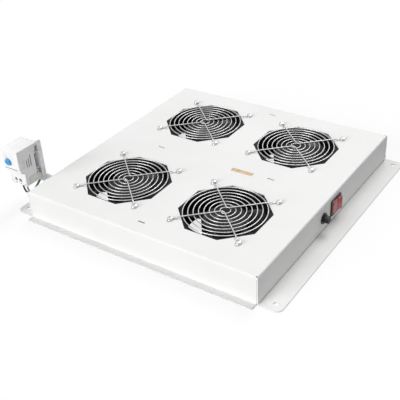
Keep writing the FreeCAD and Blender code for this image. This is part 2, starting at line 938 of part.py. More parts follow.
def rail_screw_places():
    middle = thermostat_right() - thermostat_width / 2
    return (middle - thermostat_width / 4, middle + thermostat_width / 4)


# Rail: a top-hat section, crown against the bracket and flanges forward
def din_rail():
    face = bracket_face()
    half = rail_height / 2
    crown = rail_crown / 2
    g = rail_gauge
    front = face - rail_depth
    mid = rail_middle()
    outline = [
        (front, -half), (front, -crown + g), (face - g, -crown + g), (face - g, crown - g),
        (front, crown - g), (front, half), (front + g, half), (front + g, crown),
        (face, crown), (face, -crown), (front + g, -crown), (front + g, -half)]
    x0 = thermostat_left()
    rail = prism([(x0, y, mid + z) for y, z in outline], Vector(thermostat_width, 0, 0))
    holes = [
        rod(rail_screw / 2 + thread_fit, Vector(x, face - 2 * g, mid), Vector(x, face + 1, mid))
        for x in rail_screw_places()]
    return rail.cut(holes)


def rail_screws():
    solids = []
    mid = rail_middle()
    head_face = bracket_face() - rail_gauge
    back = bracket_face() + sheet
    for x in rail_screw_places():
        head = rod(
            rail_screw_head / 2, Vector(x, head_face - rail_screw_head_height, mid),
            Vector(x, head_face, mid))
        shank = rod(
            rail_screw / 2, Vector(x, head_face, mid), Vector(x, back + nut_height + 1, mid))
        solids.append(head.fuse(shank))
        solids.append(hex_nut(
            nut_flats, rail_screw / 2 + thread_fit, Vector(x, back, mid),
            Vector(x, back + nut_height, mid)))
    return Part.makeCompound(solids)


def bracket_screws():
    solids = []
    z = foot_screw_z()
    outer = -wall_x - sheet
    inner = -wall_x + sheet
    for y in foot_screw_places():
        head = rod(
            screw_head / 2, Vector(outer - screw_head_height, y, z), Vector(outer, y, z))
        shank = rod(
            screw_diameter / 2, Vector(outer, y, z), Vector(inner + nut_height + 1.5, y, z))
        solids.append(head.fuse(shank))
        solids.append(hex_nut(
            nut_flats, screw_diameter / 2 + thread_fit, Vector(inner, y, z),
            Vector(inner + nut_height, y, z)))
    return Part.makeCompound(solids)


def thermostat_front():
    return bracket_face() - rail_play - thermostat_depth


def rail_hook_front():
    return bracket_face() - rail_depth + rail_gauge + rail_play


def terminal_face():
    return thermostat_front() + terminal_setback


# Side profile of the thermostat: dial face, small step, sloped setback and terminal face,
# then a notch for the rail clip and, at the top, a hook over the rail
def thermostat_profile():
    front = thermostat_front()
    top = thermostat_top()
    bottom = thermostat_bottom()
    block_back = front + housing_block
    rear = front + thermostat_depth
    dial_low = top - dial_zone
    middle_low = dial_low - middle_zone
    hook_front = rail_hook_front()
    hook_back = hook_front + hook_thickness
    rail_top = rail_middle() + rail_height / 2
    clip_top = bottom + clip_height + clip_play
    clip_back = front + clip_start - clip_play
    return [
        (front, top), (rear, top), (rear, top - rear_rib_top),
        (hook_back, top - rear_rib_top), (hook_back, rail_top - hook_reach),
        (hook_front, rail_top - hook_reach), (hook_front, rail_top + rail_play),
        (block_back, rail_top + rail_play), (block_back, clip_top), (clip_back, clip_top),
        (clip_back, bottom), (terminal_face(), bottom),
        (terminal_face(), middle_low - setback_slope),
        (front + dial_step, middle_low), (front + dial_step, dial_low), (front, dial_low)]


# Housing: the side profile drawn across its width, less vents, a bare panel, the dial's
# seat, the terminals' bores and the slot for the clip's tongue
def thermostat_housing():
    x0 = thermostat_left()
    body = prism([(x0, y, z) for y, z in thermostat_profile()], Vector(thermostat_width, 0, 0))
    front = thermostat_front()
    top = thermostat_top()
    bottom = thermostat_bottom()
    right = thermostat_right()
    cuts = []
    for i in range(vent_count):
        y = front + vent_start + i * vent_pitch
        low = top - vent_bottom_drop
        high = low + vent_heights[i]
        cuts.append(block(right - vent_depth, right + 1, y, y + vent_width, low, high))
        cuts.append(block(x0 - 1, x0 + vent_depth, y, y + vent_width, low, high))
    panel = front + panel_start
    cuts.append(block(
        right - panel_depth, right + 1, panel, panel + panel_width,
        top - panel_drop - panel_height, top - panel_drop))
    dial = Vector(dial_x(), front, top - dial_drop)
    cuts.append(rod(
        dial_stem / 2 + dial_fit, dial + Vector(0, -1, 0), dial + Vector(0, dial_stem_depth, 0)))
    for x in terminal_places():
        screw = Vector(x, terminal_face(), bottom + terminal_screw_rise)
        cuts.append(rod(
            terminal_screw / 2 + dial_fit, screw + Vector(0, -1, 0),
            screw + Vector(0, terminal_screw_depth, 0)))
    for x in entry_places():
        cuts.append(upright(entry_bore / 2, x, entry_y(), bottom - 1, bottom + entry_height))
        window = Vector(x, terminal_face(), bottom + entry_window_rise)
        cuts.append(rod(
            entry_window / 2, window + Vector(0, -1, 0),
            window + Vector(0, entry_cover + entry_bore / 2, 0)))
    slot_start = front + clip_start + clip_tongue_start - clip_play
    half = clip_tongue_width / 2 + clip_play
    mid = (x0 + right) / 2
    cuts.append(block(
        mid - half, mid + half, slot_start, slot_start + clip_tongue_depth + 2 * clip_play,
        bottom + clip_height, bottom + clip_height + clip_tongue_height + clip_play))
    return body.cut(cuts)


def dial_x():
    return thermostat_left() + thermostat_width / 2 - dial_offset


def terminal_places():
    first = thermostat_right() - terminal_side
    return (first, first - terminal_pitch)


# Lead entries: one below each terminal screw, and one more beside them
def entry_places():
    first = terminal_places()[0]
    return (first + terminal_pitch, first, first - terminal_pitch)


def entry_y():
    return terminal_face() + entry_cover + entry_bore / 2


# Dial: a low knob with a screwdriver slot, on a stem that turns in the housing
def thermostat_dial():
    front = thermostat_front()
    centre = Vector(dial_x(), front, thermostat_top() - dial_drop)
    out = Vector(0, -1, 0)
    knob = rod(dial_diameter / 2, centre + out * dial_play, centre + out * dial_height)
    stem = rod(
        dial_stem / 2, centre + out * dial_play, centre - out * (dial_stem_depth - dial_play))
    reach = dial_diameter / 2 - dial_slot
    slot = block(
        centre.x - reach, centre.x + reach, front - dial_height - 1,
        front - dial_height / 2, centre.z - dial_slot / 2, centre.z + dial_slot / 2)
    return knob.fuse(stem).cut(slot)


def thermostat_terminals():
    face = terminal_face()
    solids = []
    for x in terminal_places():
        z = thermostat_bottom() + terminal_screw_rise
        screw = rod(
            terminal_screw / 2, Vector(x, face - terminal_screw_stand, z),
            Vector(x, face + terminal_screw_depth, z))
        slot = block(
            x - terminal_screw_stand, x + terminal_screw_stand, face - 1,
            face + terminal_screw_depth / 4, z - terminal_screw, z + terminal_screw)
        solids.append(screw.cut(slot))
    return Part.makeCompound(solids)


# Rail clip: the lower rear corner of the thermostat, sliding on a tongue, with a catch
# that rises behind the rail's lower flange
def rail_clip():
    x0 = thermostat_left()
    front = thermostat_front()
    bottom = thermostat_bottom()
    start = front + clip_start
    rear = front + thermostat_depth - clip_play
    block_back = front + housing_block
    catch = rail_hook_front()
    rail_low = rail_middle() - rail_height / 2
    outline = [
        (start, bottom), (rear, bottom), (rear, bottom + rear_rib_bottom),
        (catch + hook_thickness, bottom + rear_rib_bottom),
        (catch + hook_thickness, rail_low + clip_catch), (catch, rail_low + clip_catch),
        (catch, bottom + rear_rib_bottom), (block_back, bottom + rear_rib_bottom),
        (block_back, bottom + clip_height), (start, bottom + clip_height)]
    clip = prism([(x0, y, z) for y, z in outline], Vector(thermostat_width, 0, 0))
    mid = x0 + thermostat_width / 2
    half = clip_tongue_width / 2
    tongue_start = start + clip_tongue_start
    tongue = block(
        mid - half, mid + half, tongue_start, tongue_start + clip_tongue_depth,
        bottom + clip_height - 1, bottom + clip_height + clip_tongue_height)
    return clip.fuse(tongue).removeSplitter()


# Rubber grommet: a waist through the wall between two collars
def wall_grommet():
    outer = -wall_x
    inner = -wall_x + sheet

    def at(x):
        return Vector(x, grommet_y, grommet_z)

    waist = rod(grommet_waist / 2, at(outer - 0.5), at(inner + 0.5))
    out_collar = rod(grommet_collar / 2, at(outer - grommet_collar_depth), at(outer))
    in_collar = rod(grommet_collar / 2, at(inner), at(inner + grommet_collar_depth))
    bore = rod(grommet_bore / 2, at(outer - 10), at(inner + 10))
    return waist.fuse([out_collar, in_collar]).cut(bore).removeSplitter()


# Cable gland in the rear wall: hexagon, domed nut and threaded tail, all bored
def gland_at(y):
    return Vector(gland_x, y, gland_z)


def mains_gland():
    face = wall_y
    hexagon = many_sided(6, gland_flats, gland_at(face), gland_at(face + gland_hex_depth))
    tail = rod(
        gland_thread / 2, gland_at(face - sheet - gland_tail), gland_at(face))
    neck = rod(
        gland_thread / 2, gland_at(face + gland_hex_depth),
        gland_at(face + gland_hex_depth + gland_dome_depth / 2))
    bore = rod(
        gland_bore / 2, gland_at(face - sheet - gland_tail - 1),
        gland_at(face + gland_hex_depth + gland_dome_depth))
    return hexagon.fuse([tail, neck]).cut(bore).removeSplitter()


def gland_cap():
    start = wall_y + gland_hex_depth + 0.3
    end = start + gland_dome_depth
    bulk = many_sided(6, gland_dome, gland_at(start), gland_at(end))
    cone = Part.makeCone(
        gland_dome * 0.62, gland_bore / 2 + 2.2, gland_dome_depth, gland_at(start), Vector(0, 1, 0))
    seat = rod(
        gland_thread / 2 + grommet_fit, gland_at(start - 1), gland_at(start + gland_dome_depth / 2))
    bore = rod(gland_bore / 2, gland_at(start), gland_at(end + 1))
    return bulk.common(cone).cut([seat, bore])


def gland_nut():
    inner = wall_y - sheet
    return hex_nut(
        gland_nut_flats, gland_thread / 2 + grommet_fit,
        gland_at(inner - gland_nut_depth), gland_at(inner))


# Earth stud welded under the plate, with washer and nut
def earth_stud():
    return upright(stud_diameter / 2, stud_x, stud_y, plate_under - stud_length, plate_under)


def earth_nut():
    top = plate_under - stud_length / 2
    bore = stud_diameter / 2 + thread_fit
    nut = hex_nut(
        nut_flats, bore, Vector(stud_x, stud_y, top - nut_height), Vector(stud_x, stud_y, top))
    washer = pipe(
        washer_diameter / 2, bore, Vector(stud_x, stud_y, top),
        Vector(stud_x, stud_y, top + washer_thickness))
    return Part.makeCompound([nut, washer])


# Connector strip under the plate: one bore and two clamping screws for each way
def strip_way(i):
    return strip_y + (i - (strip_ways - 1) / 2) * strip_length / strip_ways


def connector_strip():
    body = block(
        strip_x - strip_width / 2, strip_x + strip_width / 2,
        strip_y - strip_length / 2, strip_y + strip_length / 2,
        plate_under - strip_height, plate_under)
    cuts = []
    for i in range(strip_ways):
        y = strip_way(i)
        z = plate_under - strip_height / 2
        cuts.append(rod(
            strip_bore / 2, Vector(strip_x - strip_width, y, z), Vector(strip_x + strip_width, y, z)))
        for s in (-1, 1):
            cuts.append(upright(
                strip_screw / 2 + thread_fit, strip_x + s * strip_width / 4, y,
                plate_under - strip_height - 1, z - strip_bore / 2 + 0.2))
    return body.cut(cuts)


def strip_screws():
    solids = []
    for i in range(strip_ways):
        for s in (-1, 1):
            solids.append(upright(
                strip_screw / 2, strip_x + s * strip_width / 4, strip_way(i),
                plate_under - strip_height + 0.8,
                plate_under - strip_height / 2 - strip_bore / 2))
    return Part.makeCompound(solids)


# A lead: straight runs joined by tangent arcs, each as large as its two runs allow
def lead(name, points, diameter):
    points = [Vector(*p) for p in points]
    edges = []
    last = points[0]
    radii = []
    for i in range(1, len(points) - 1):
        before = points[i - 1] - points[i]
        after = points[i + 1] - points[i]
        turn = math.pi - before.getAngle(after)
        cut = 0.45 * min(before.Length, after.Length)
        radius = cut / math.tan(turn / 2)
        radii.append(round(radius, 1))
        before.normalize()
        after.normalize()
        start = points[i] + before * cut
        end = points[i] + after * cut
        half = (before + after)
        half.normalize()
        middle = points[i] + half * (radius / math.cos(turn / 2) - radius)
        if (start - last).Length > 1e-6:
            edges.append(Part.makeLine(last, start))
        edges.append(Part.Arc(start, middle, end).toShape())
        last = end
    edges.append(Part.makeLine(last, points[-1]))
    path = Part.Wire(edges)
    section = Part.Wire([Part.makeCircle(diameter / 2, points[0], points[1] - points[0])])
    tube = path.makePipeShell([section], True, False)
    expected = math.pi * diameter ** 2 / 4 * path.Length
    print(name, "length", round(path.Length, 1), "radii", radii,
          "volume share", round(tube.Volume / expected, 4))
    return tube


# Leads: down out of the thermostat, round in a loop below it, up behind the bracket and
# through the grommet. The points are chosen by hand.
black_route = (
    (-220.8, -176.8, 39.5), (-220.8, -176.8, 28.0), (-219.8, -173.0, 17.0),
    (-220.2, -162.0, 13.2), (-222.0, -151.0, 17.5), (-222.0, -142.0, 25.0),
    (-213.5, -135.0, 28.0), (-200.5, -131.5, 22.0), (-182.0, -131.5, 20.0))
green_route = (
    (-212.2, -176.8, 39.0), (-212.6, -176.6, 29.5), (-214.6, -172.0, 20.0),
    (-217.6, -161.6, 16.2), (-218.8, -151.0, 20.2), (-218.6, -142.0, 28.2),
    (-210.8, -136.0, 31.0), (-199.5, -131.9, 24.6), (-182.0, -131.5, 23.1))


def save(name, shape):
    shape.exportStep("parts/" + name + ".step")


def main():
    os.makedirs("parts", exist_ok=True)
    for name, piece in tray_pieces().items():
        save(name, piece)
    save("fan_bearings", fan_bearings())
    save("stators", stators())
    rotor = rotor_at_origin()
    for i, (x, y) in enumerate(fan_centres):
        number = str(i + 1)
        save("fan_frame_" + number, fan_frame(x, y))
        save("motor_spider_" + number, motor_spider(x, y))
        placed = turned(rotor, rotor_turns[i])
        placed.translate(Vector(x, y, 0))
        save("rotor_" + number, placed)
        save("rotor_shaft_" + number, rotor_shaft(x, y))
        save("finger_guard_" + number, finger_guard(x, y))
    save("guard_screws", guard_screws())
    save("guard_nuts", guard_nuts())
    save("switch_housing", switch_housing())
    save("switch_rocker", switch_rocker())
    save("switch_pin", switch_pin())
    save("switch_terminals", switch_terminals())
    save("fuse_holder", fuse_holder())
    save("fuse_nut", fuse_nut())
    save("fuse_cap", fuse_cap_knob())
    save("fuse_glass", fuse_tube())
    save("fuse_end_caps", fuse_end_caps())
    save("fuse_tags", fuse_tags())
    save("thermostat_bracket", thermostat_bracket())
    save("bracket_screws", bracket_screws())
    save("din_rail", din_rail())
    save("rail_screws", rail_screws())
    save("thermostat_housing", thermostat_housing())
    save("thermostat_dial", thermostat_dial())
    save("thermostat_terminals", thermostat_terminals())
    save("rail_clip", rail_clip())
    save("wall_grommet", wall_grommet())
    save("mains_gland", mains_gland())
    save("gland_cap", gland_cap())
    save("gland_nut", gland_nut())
    save("earth_stud", earth_stud())
    save("earth_nut", earth_nut())
    save("connector_strip", connector_strip())
    save("strip_screws", strip_screws())
    save("lead_black", lead("lead_black", black_route, black_lead))
    save("lead_green", lead("lead_green", green_route, green_lead))


main()
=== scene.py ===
import json
import math

import bmesh
import bpy
import numpy as np
from mathutils import Matrix, Vector


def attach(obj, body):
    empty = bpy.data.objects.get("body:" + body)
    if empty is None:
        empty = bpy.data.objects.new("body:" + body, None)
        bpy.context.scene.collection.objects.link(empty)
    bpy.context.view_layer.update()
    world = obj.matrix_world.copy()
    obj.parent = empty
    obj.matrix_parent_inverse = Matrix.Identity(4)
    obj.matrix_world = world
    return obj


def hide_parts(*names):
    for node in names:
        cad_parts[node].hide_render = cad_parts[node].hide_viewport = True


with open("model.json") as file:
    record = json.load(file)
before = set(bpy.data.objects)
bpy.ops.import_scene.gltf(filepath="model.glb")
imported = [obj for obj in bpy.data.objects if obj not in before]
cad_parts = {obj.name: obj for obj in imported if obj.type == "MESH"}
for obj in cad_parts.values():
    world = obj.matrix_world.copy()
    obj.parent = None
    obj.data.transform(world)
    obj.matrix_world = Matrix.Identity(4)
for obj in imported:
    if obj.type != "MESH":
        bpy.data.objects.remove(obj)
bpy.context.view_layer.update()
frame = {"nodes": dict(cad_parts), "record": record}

nodes = frame["nodes"]
slotOf = {row["node"]: row["material_slot"] for row in frame["record"]["subparts"]}
mm = 0.001
fanCentres = ((-82.5, -100.0), (82.5, -100.0), (82.5, 100.0), (-82.5, 100.0))
print("frame loaded:", len(nodes), "nodes")


# camera

viewpoint = {
    "place": (0.52365, -0.7667, 0.5884),
    "right": (0.8288, 0.5573, -0.0509),
    "up": (-0.2717, 0.4802, 0.8341),
    "lens": 65.45,
}
side = Vector(viewpoint["right"]).normalized()
back = side.cross(Vector(viewpoint["up"])).normalized()
above = back.cross(side).normalized()
cameraData = bpy.data.cameras.new("studioCamera")
cameraData.lens = viewpoint["lens"]
cameraData.sensor_width = 36.0
cameraData.clip_start = 0.01
cameraData.clip_end = 20.0
studioCamera = bpy.data.objects.new("studioCamera", cameraData)
bpy.context.scene.collection.objects.link(studioCamera)
studioCamera.matrix_world = Matrix.Translation(Vector(viewpoint["place"])) @ Matrix(
    (side, above, back)).transposed().to_4x4()
bpy.context.scene.camera = studioCamera
bpy.context.scene.view_settings.view_transform = "Standard"


# materials

def newMaterial(name, color, roughness, metallic=0.0, specular=0.5):
    material = bpy.data.materials.new(name)
    material.use_nodes = True
    shader = material.node_tree.nodes["Principled BSDF"]
    shader.inputs["Base Color"].default_value = (*color, 1.0)
    shader.inputs["Roughness"].default_value = roughness
    shader.inputs["Metallic"].default_value = metallic
    shader.inputs["Specular IOR Level"].default_value = specular
    return material, shader


# a node in a material or the world, with its settings and socket values by name
def addNode(owner, kind, **values):
    node = owner.node_tree.nodes.new(kind)
    for key, value in values.items():
        if hasattr(node, key):
            setattr(node, key, value)
        else:
            node.inputs[key].default_value = value
    return node


def join(owner, start, end):
    owner.node_tree.links.new(start, end)


def objectPlace(material):
    return addNode(material, "ShaderNodeTexCoord").outputs["Object"]


# two shades laid on the output of a pattern, between two places of its range
def shadeBetween(material, shader, pattern, low, high, span=(0.0, 1.0)):
    ramp = addNode(material, "ShaderNodeValToRGB")
    for element, color, position in zip(ramp.color_ramp.elements, (low, high), span):
        element.position = position
        element.color = (*color, 1.0)
    join(material, pattern, ramp.inputs["Fac"])
    join(material, ramp.outputs["Color"], shader.inputs["Base Color"])


# colour drifts between two shades with a noise of the given scale
def driftColor(material, shader, place, low, high, scale):
    noise = addNode(material, "ShaderNodeTexNoise", Scale=scale, Detail=3.0)
    join(material, place, noise.inputs["Vector"])
    shadeBetween(material, shader, noise.outputs["Fac"], low, high, (0.35, 0.65))


# roughness drifts between two values
def driftRoughness(material, shader, place, low, high, scale):
    noise = addNode(material, "ShaderNodeTexNoise", Scale=scale, Detail=2.0)
    spread = addNode(material, "ShaderNodeMapRange")
    spread.inputs["From Min"].default_value = 0.3
    spread.inputs["From Max"].default_value = 0.7
    spread.inputs["To Min"].default_value = low
    spread.inputs["To Max"].default_value = high
    join(material, place, noise.inputs["Vector"])
    join(material, noise.outputs["Fac"], spread.inputs["Value"])
    join(material, spread.outputs["Result"], shader.inputs["Roughness"])


# fine relief: a noise height taken as a bump
def addGrain(material, shader, place, scale, distance, strength):
    noise = addNode(material, "ShaderNodeTexNoise", Scale=scale, Detail=2.0)
    bump = addNode(material, "ShaderNodeBump", Strength=strength, Distance=distance)
    join(material, place, noise.inputs["Vector"])
    join(material, noise.outputs["Fac"], bump.inputs["Height"])
    join(material, bump.outputs["Normal"], shader.inputs["Normal"])


# matt paint with a faint orange peel
def powderCoat(name, low, high):
    material, shader = newMaterial(name, high, 0.52, specular=0.25)
    place = objectPlace(material)
    driftColor(material, shader, place, low, high, 14.0)
    driftRoughness(material, shader, place, 0.46, 0.58, 60.0)
    addGrain(material, shader, place, 1100.0, 0.00006, 0.5)
    return material


# thin hard paint
def enamel(name, low, high, roughness, specular):
    material, shader = newMaterial(name, high, roughness, specular=specular)
    place = objectPlace(material)
    driftColor(material, shader, place, low, high, 90.0)
    driftRoughness(material, shader, place, roughness - 0.05, roughness + 0.08, 140.0)
    addGrain(material, shader, place, 900.0, 0.00003, 0.5)
    return material


# bare or plated metal with a fine brushed relief
def platedMetal(name, low, high, roughness, scale=120.0):
    material, shader = newMaterial(name, high, roughness, metallic=1.0)
    place = objectPlace(material)
    driftColor(material, shader, place, low, high, scale)
    driftRoughness(material, shader, place, roughness - 0.05, roughness + 0.1, scale * 2)
    addGrain(material, shader, place, scale * 12, 0.00001, 0.35)
    return material


# zinc spangle: flat crystal cells of slightly different grey
def galvanisedSheet(name):
    material, shader = newMaterial(name, (0.8, 0.81, 0.82), 0.45, metallic=0.25)
    place = objectPlace(material)
    cells = addNode(material, "ShaderNodeTexVoronoi", Scale=260.0)
    split = addNode(material, "ShaderNodeSeparateColor")
    join(material, place, cells.inputs["Vector"])
    join(material, cells.outputs["Color"], split.inputs["Color"])
    shadeBetween(material, shader, split.outputs["Red"], (0.74, 0.75, 0.76), (0.86, 0.86, 0.87))
    driftRoughness(material, shader, place, 0.34, 0.5, 90.0)
    return material


# plastic with the fine grain of its mould, under a clear coat where one is given
def mouldedPlastic(name, low, high, roughness, grain=0.00004, coat=0.0):
    material, shader = newMaterial(name, high, roughness, specular=0.45)
    shader.inputs["Coat Weight"].default_value = coat
    shader.inputs["Coat Roughness"].default_value = 0.12
    place = objectPlace(material)
    driftColor(material, shader, place, low, high, 70.0)
    driftRoughness(material, shader, place, roughness - 0.04, roughness + 0.06, 200.0)
    addGrain(material, shader, place, 1500.0, grain, 0.4)
    return material


# tinted clear cap with the lamp's ribs showing through as faint bands
def tintedRocker(name):
    material, shader = newMaterial(name, (0.42, 0.03, 0.045), 0.2)
    shader.inputs["Coat Weight"].default_value = 0.5
    shader.inputs["Coat Roughness"].default_value = 0.08
    shader.inputs["Subsurface Weight"].default_value = 0.15
    shader.inputs["Subsurface Radius"].default_value = (0.004, 0.0006, 0.0006)
    shader.inputs["Subsurface Scale"].default_value = 1.0
    place = objectPlace(material)
    bands = addNode(material, "ShaderNodeTexWave", Scale=95.0, Distortion=1.5, Detail=1.0)
    bands.bands_direction = "Z"
    join(material, place, bands.inputs["Vector"])
    shadeBetween(material, shader, bands.outputs["Fac"], (0.34, 0.022, 0.035), (0.52, 0.06, 0.075))
    driftRoughness(material, shader, place, 0.15, 0.26, 300.0)
    return material


def clearGlass(name):
    material, shader = newMaterial(name, (0.92, 0.97, 0.95), 0.04)
    shader.inputs["Transmission Weight"].default_value = 0.9
    shader.inputs["IOR"].default_value = 1.5
    place = objectPlace(material)
    driftRoughness(material, shader, place, 0.02, 0.07, 200.0)
    return material


# thin stacked sheets seen from the side: fine bands across the height
def laminatedIron(name):
    material, shader = newMaterial(name, (0.3, 0.28, 0.27), 0.5, metallic=0.8)
    place = objectPlace(material)
    bands = addNode(material, "ShaderNodeTexWave", Scale=320.0, Distortion=0.4)
    bands.bands_direction = "Z"
    join(material, place, bands.inputs["Vector"])
    shadeBetween(material, shader, bands.outputs["Fac"], (0.2, 0.12, 0.07), (0.36, 0.33, 0.31))
    return material


finish = {
    "tray_paint": powderCoat("trayPowderCoat", (0.785, 0.785, 0.78), (0.81, 0.81, 0.805)),
    "zinc_plate": platedMetal("zincPlate", (0.5, 0.5, 0.49), (0.64, 0.64, 0.63), 0.32, 300.0),
    "bright_steel": platedMetal("brightSteel", (0.7, 0.7, 0.7), (0.8, 0.8, 0.8), 0.24),
    "guard_wire": platedMetal("guardWire", (0.46, 0.46, 0.46), (0.56, 0.56, 0.56), 0.34, 200.0),
    "galvanised": galvanisedSheet("galvanisedSheet"),
    "switch_black": mouldedPlastic("switchBlack", (0.012, 0.012, 0.013), (0.02, 0.02, 0.021), 0.3),
    "rocker_red": tintedRocker("rockerRed"),
    "tag_brass": platedMetal("tagBrass", (0.7, 0.52, 0.24), (0.8, 0.64, 0.34), 0.3),
    "fuse_glass": clearGlass("fuseGlass"),
    "fan_black": enamel("fanEnamel", (0.005, 0.005, 0.0055), (0.01, 0.01, 0.0105), 0.42, 0.1),
    "rotor_black": enamel("rotorEnamel", (0.007, 0.007, 0.0075), (0.014, 0.014, 0.0145), 0.26, 0.2),
    "stator_iron": laminatedIron("statorIron"),
    "thermostat_grey": mouldedPlastic(
        "thermostatGrey", (0.82, 0.82, 0.825), (0.85, 0.85, 0.855), 0.45, 0.00005),
    "dial_blue": mouldedPlastic("dialBlue", (0.05, 0.3, 0.62), (0.09, 0.38, 0.7), 0.32, coat=0.2),
    "clip_grey": mouldedPlastic("clipGrey", (0.7, 0.71, 0.66), (0.76, 0.77, 0.72), 0.45),
    "grommet_rubber": mouldedPlastic("grommetRubber", (0.02, 0.02, 0.02), (0.035, 0.035, 0.035), 0.7),
    "gland_black": mouldedPlastic("glandBlack", (0.03, 0.03, 0.03), (0.05, 0.05, 0.05), 0.5),
    "strip_white": mouldedPlastic("stripWhite", (0.8, 0.8, 0.77), (0.85, 0.85, 0.82), 0.5),
    "lead_black": mouldedPlastic("leadBlack", (0.02, 0.025, 0.03), (0.04, 0.045, 0.05), 0.38),
    "lead_green": mouldedPlastic("leadGreen", (0.03, 0.12, 0.09), (0.05, 0.18, 0.13), 0.38),
}
bareStrip, bareShader = newMaterial("bareTanStrip", (0.58, 0.42, 0.24), 0.5)
barePlace = objectPlace(bareStrip)
driftColor(bareStrip, bareShader, barePlace, (0.5, 0.36, 0.2), (0.66, 0.49, 0.29), 150.0)
addGrain(bareStrip, bareShader, barePlace, 900.0, 0.00002, 0.3)
# a darker copy of the tray paint, for the painted shade line in the folds
foldShade = powderCoat("foldShade", (0.34, 0.34, 0.34), (0.42, 0.42, 0.42))

for nodeName, item in nodes.items():
    item.data.materials.clear()
    item.data.materials.append(finish[slotOf[nodeName]])
print("materials made:", len(finish) + 2)


# mesh helpers

# quads between neighbouring rows and columns of a grid, closed round either way if asked
def gridQuads(rows, columns, closeRows=False, closeColumns=True):
    row = np.arange(rows if closeRows else rows - 1)[:, None]
    column = np.arange(columns if closeColumns else columns - 1)[None, :]
    nextRow = (row + 1) % rows
    nextColumn = (column + 1) % columns
    corners = [a * columns + b for a, b in (
        (row, column), (row, nextColumn), (nextRow, nextColumn), (nextRow, column))]
    return np.stack(np.broadcast_arrays(*corners), -1).reshape(-1, 4)


# a round wire: circles of the given radius set square to a path, level side first
def wireAlong(path, radius, sides=12, closed=False):
    path = np.asarray(path, float)
    ahead = np.roll(path, -1, 0)
    behind = np.roll(path, 1, 0)
    if not closed:
        ahead[-1] = path[-1]
        behind[0] = path[0]
    along = ahead - behind
    along /= np.linalg.norm(along, axis=1)[:, None]
    level = np.cross(along, (0.0, 0.0, 1.0))
    level /= np.linalg.norm(level, axis=1)[:, None]
    upward = np.cross(level, along)
    turn = np.linspace(0, 2 * np.pi, sides, endpoint=False)[None, :, None]
    points = path[:, None] + radius * (
        np.cos(turn) * level[:, None] + np.sin(turn) * upward[:, None])
    faces = gridQuads(len(path), sides, closeRows=closed).tolist()
    if not closed:
        faces += [list(range(sides)), list(range((len(path) - 1) * sides, len(path) * sides))]
    return points.reshape(-1, 3), faces


# a turned body: radius and height along a profile, carried round the upright axis, with
# the radius scaled by a share that may change with the angle, and a height sunk by place
def turnedBody(radius, height, steps=64, ripple=None, sink=None):
    angle = np.linspace(0, 2 * np.pi, steps, endpoint=False)[None]
    reach = np.asarray(radius, float)[:, None] * (1.0 if ripple is None else ripple(angle))
    x = reach * np.cos(angle)
    y = reach * np.sin(angle)
    z = np.asarray(height, float)[:, None] + 0 * angle
    if sink is not None:
        z = z - sink(x, y, z)
    points = np.stack([x, y, z], -1).reshape(-1, 3)
    return points, gridQuads(len(radius), steps).tolist()


# a path through the corners whose every inner corner is rounded: a quadratic blend that
# starts and ends the given length from the corner
def roundedPath(corners, cut, steps=8):
    corners = np.asarray(corners, float)
    t = np.linspace(0, 1, steps)[:, None]
    pieces = [corners[:1]]
    for before, here, after in zip(corners, corners[1:], corners[2:]):
        a = before - here
        b = after - here
        start = here + a / np.linalg.norm(a) * min(cut, 0.48 * np.linalg.norm(a))
        end = here + b / np.linalg.norm(b) * min(cut, 0.48 * np.linalg.norm(b))
        pieces.append((1 - t) ** 2 * start + 2 * t * (1 - t) * here + t ** 2 * end)
    return np.concatenate(pieces + [corners[-1:]])


boxFaces = [[0, 1, 3, 2], [4, 6, 7, 5], [0, 4, 5, 1], [2, 3, 7, 6], [0, 2, 6, 4], [1, 5, 7, 3]]


# an upright box between two opposite corners
def slab(low, high):
    return np.stack(np.meshgrid(*zip(low, high), indexing="ij"), -1).reshape(-1, 3), boxFaces


# several shapes as one, the later polygons counted on from the earlier points
def together(shapes):
    points, faces, count = [], [], 0
    for place, polygons in shapes:
        points.append(place)
        faces += [[i + count for i in polygon] for polygon in polygons]
        count += len(place)
    return np.concatenate(points), faces


# a shape turned about the upright axis, then carried by an offset
def moved(shape, offset, turn=0.0):
    points, faces = shape
    c, s = math.cos(turn), math.sin(turn)
    spin = np.array([[c, -s, 0], [s, c, 0], [0, 0, 1.0]])
    return points @ spin.T + np.asarray(offset, float), faces


sharpPast = {"turned": 35.0, "flat": 30.0, "wire": 60.0}


# a mesh from points in mm and polygons, merged, facing outward, smooth up to a sharp angle
def makePiece(name, shape, slotName, body, stands=(), sharp=sharpPast["flat"], material=None):
    points, faces = shape
    mesh = bpy.data.meshes.new(name)
    mesh.from_pydata((np.asarray(points) * mm).tolist(), [], faces)
    work = bmesh.new()
    work.from_mesh(mesh)
    bmesh.ops.remove_doubles(work, verts=work.verts, dist=1e-7)
    bmesh.ops.recalc_face_normals(work, faces=work.faces)
    work.to_mesh(mesh)
    work.free()
    mesh.shade_smooth()
    mesh.set_sharp_from_angle(angle=math.radians(sharp))
    return dress(bpy.data.objects.new(name, mesh), slotName, body, stands, material)


# a piece linked, painted, set on its body and slot, and put in place of its CAD nodes
def dress(piece, slotName, body, stands=(), material=None):
    if piece.name not in bpy.context.scene.collection.objects:
        bpy.context.scene.collection.objects.link(piece)
    piece.data.materials.clear()
    piece.data.materials.append(material or finish[slotName])
    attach(piece, body)
    if stands:
        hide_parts(*stands)
    return piece


edgeRule = {"foldPast": 25.0, "longerThan": 3.0}


